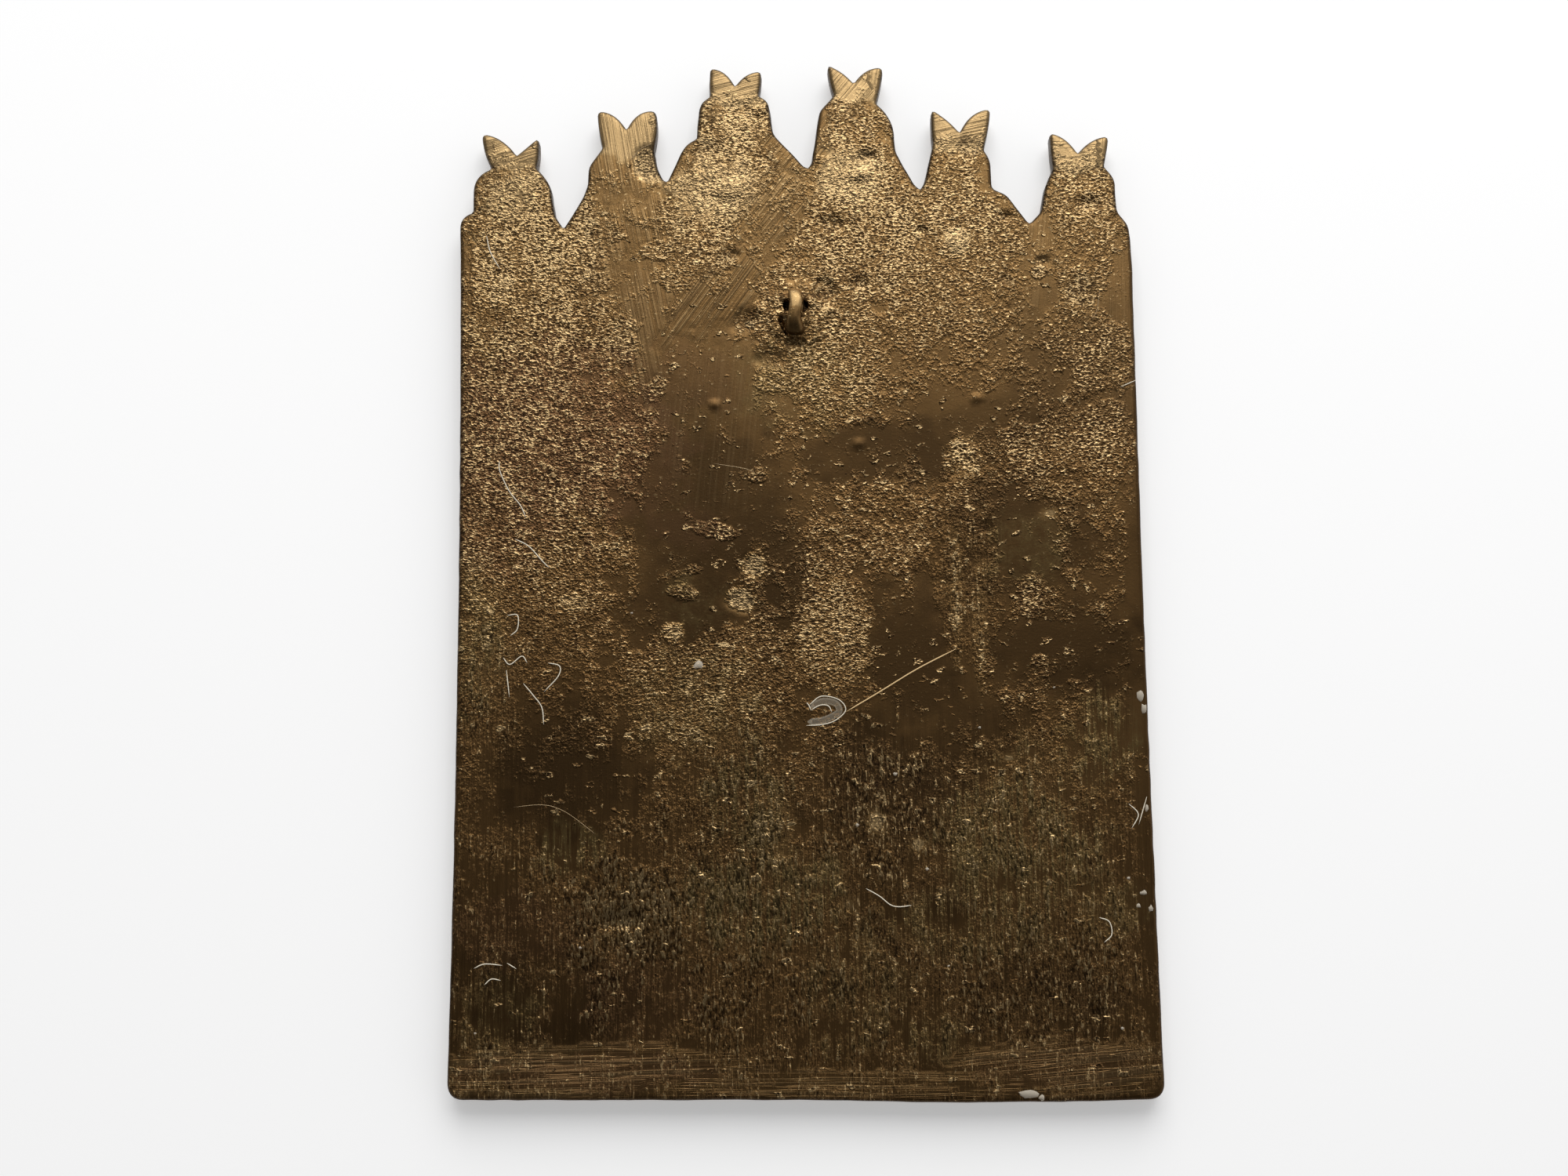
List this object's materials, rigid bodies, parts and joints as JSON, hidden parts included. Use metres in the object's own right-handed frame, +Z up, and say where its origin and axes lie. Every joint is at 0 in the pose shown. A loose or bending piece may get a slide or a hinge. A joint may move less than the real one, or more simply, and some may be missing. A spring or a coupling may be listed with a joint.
{
  "type": "bronze travel icon",
  "caption": "Small cast bronze relief plaque with a row of winged finials along its top edge and a cast lug on its back, lying face down.",
  "frame": {"origin": "under the middle of the outline, on the plane of the front rim that the plate lies on", "axes": "+Z up and the way the back faces, +Y from the lower edge towards the finials, +X to the right as the back is seen"},
  "size_m": [0.1008, 0.1532, 0.0072],
  "materials": {
    "patinated_bronze": "sand-cast bronze, golden where the raised grain is rubbed and dark brown in the worn patina"
  },
  "bodies": {
    "root": {"icon_plaque": "patinated_bronze"}
  },
  "joints": []
}
